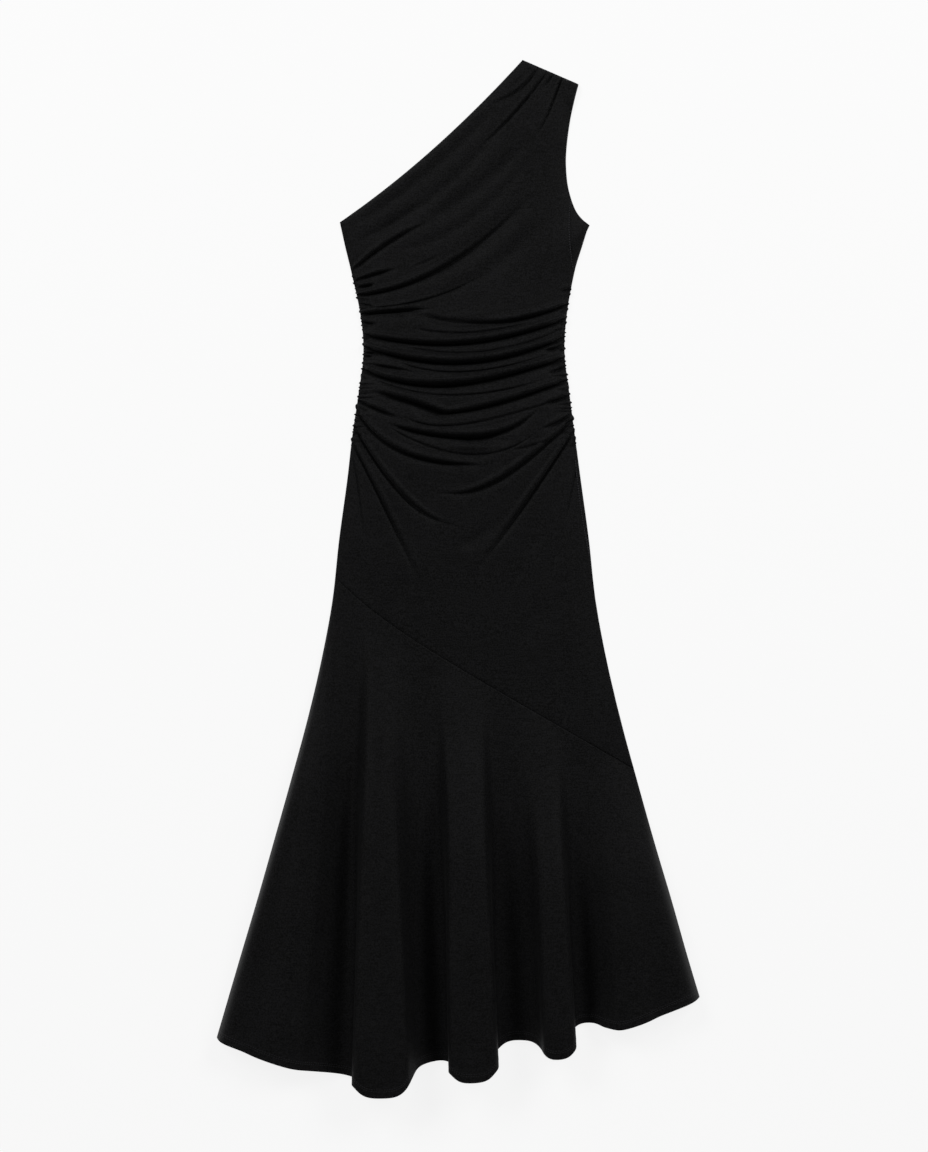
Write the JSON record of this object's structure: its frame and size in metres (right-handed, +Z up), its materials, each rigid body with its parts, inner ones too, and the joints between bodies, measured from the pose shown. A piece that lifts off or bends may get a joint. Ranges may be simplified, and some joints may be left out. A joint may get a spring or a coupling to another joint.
{
  "type": "one-shoulder dress",
  "caption": "Long black one-shoulder jersey dress laid flat, with a draped bodice ruched into the side seams and a fluted skirt below a slanting seam.",
  "frame": {"origin": "middle of the laid dress's outline, on the surface that it lies on", "axes": "+X to the right of the laid dress, +Y towards its shoulder, +Z up off the surface"},
  "size_m": [0.6553, 1.4, 0.056],
  "materials": {
    "jersey": "matte black stretch jersey with a faint sheen at its edges"
  },
  "bodies": {
    "root": {"front_upper": "jersey", "back_upper": "jersey", "front_flounce": "jersey", "back_flounce": "jersey"}
  },
  "joints": []
}
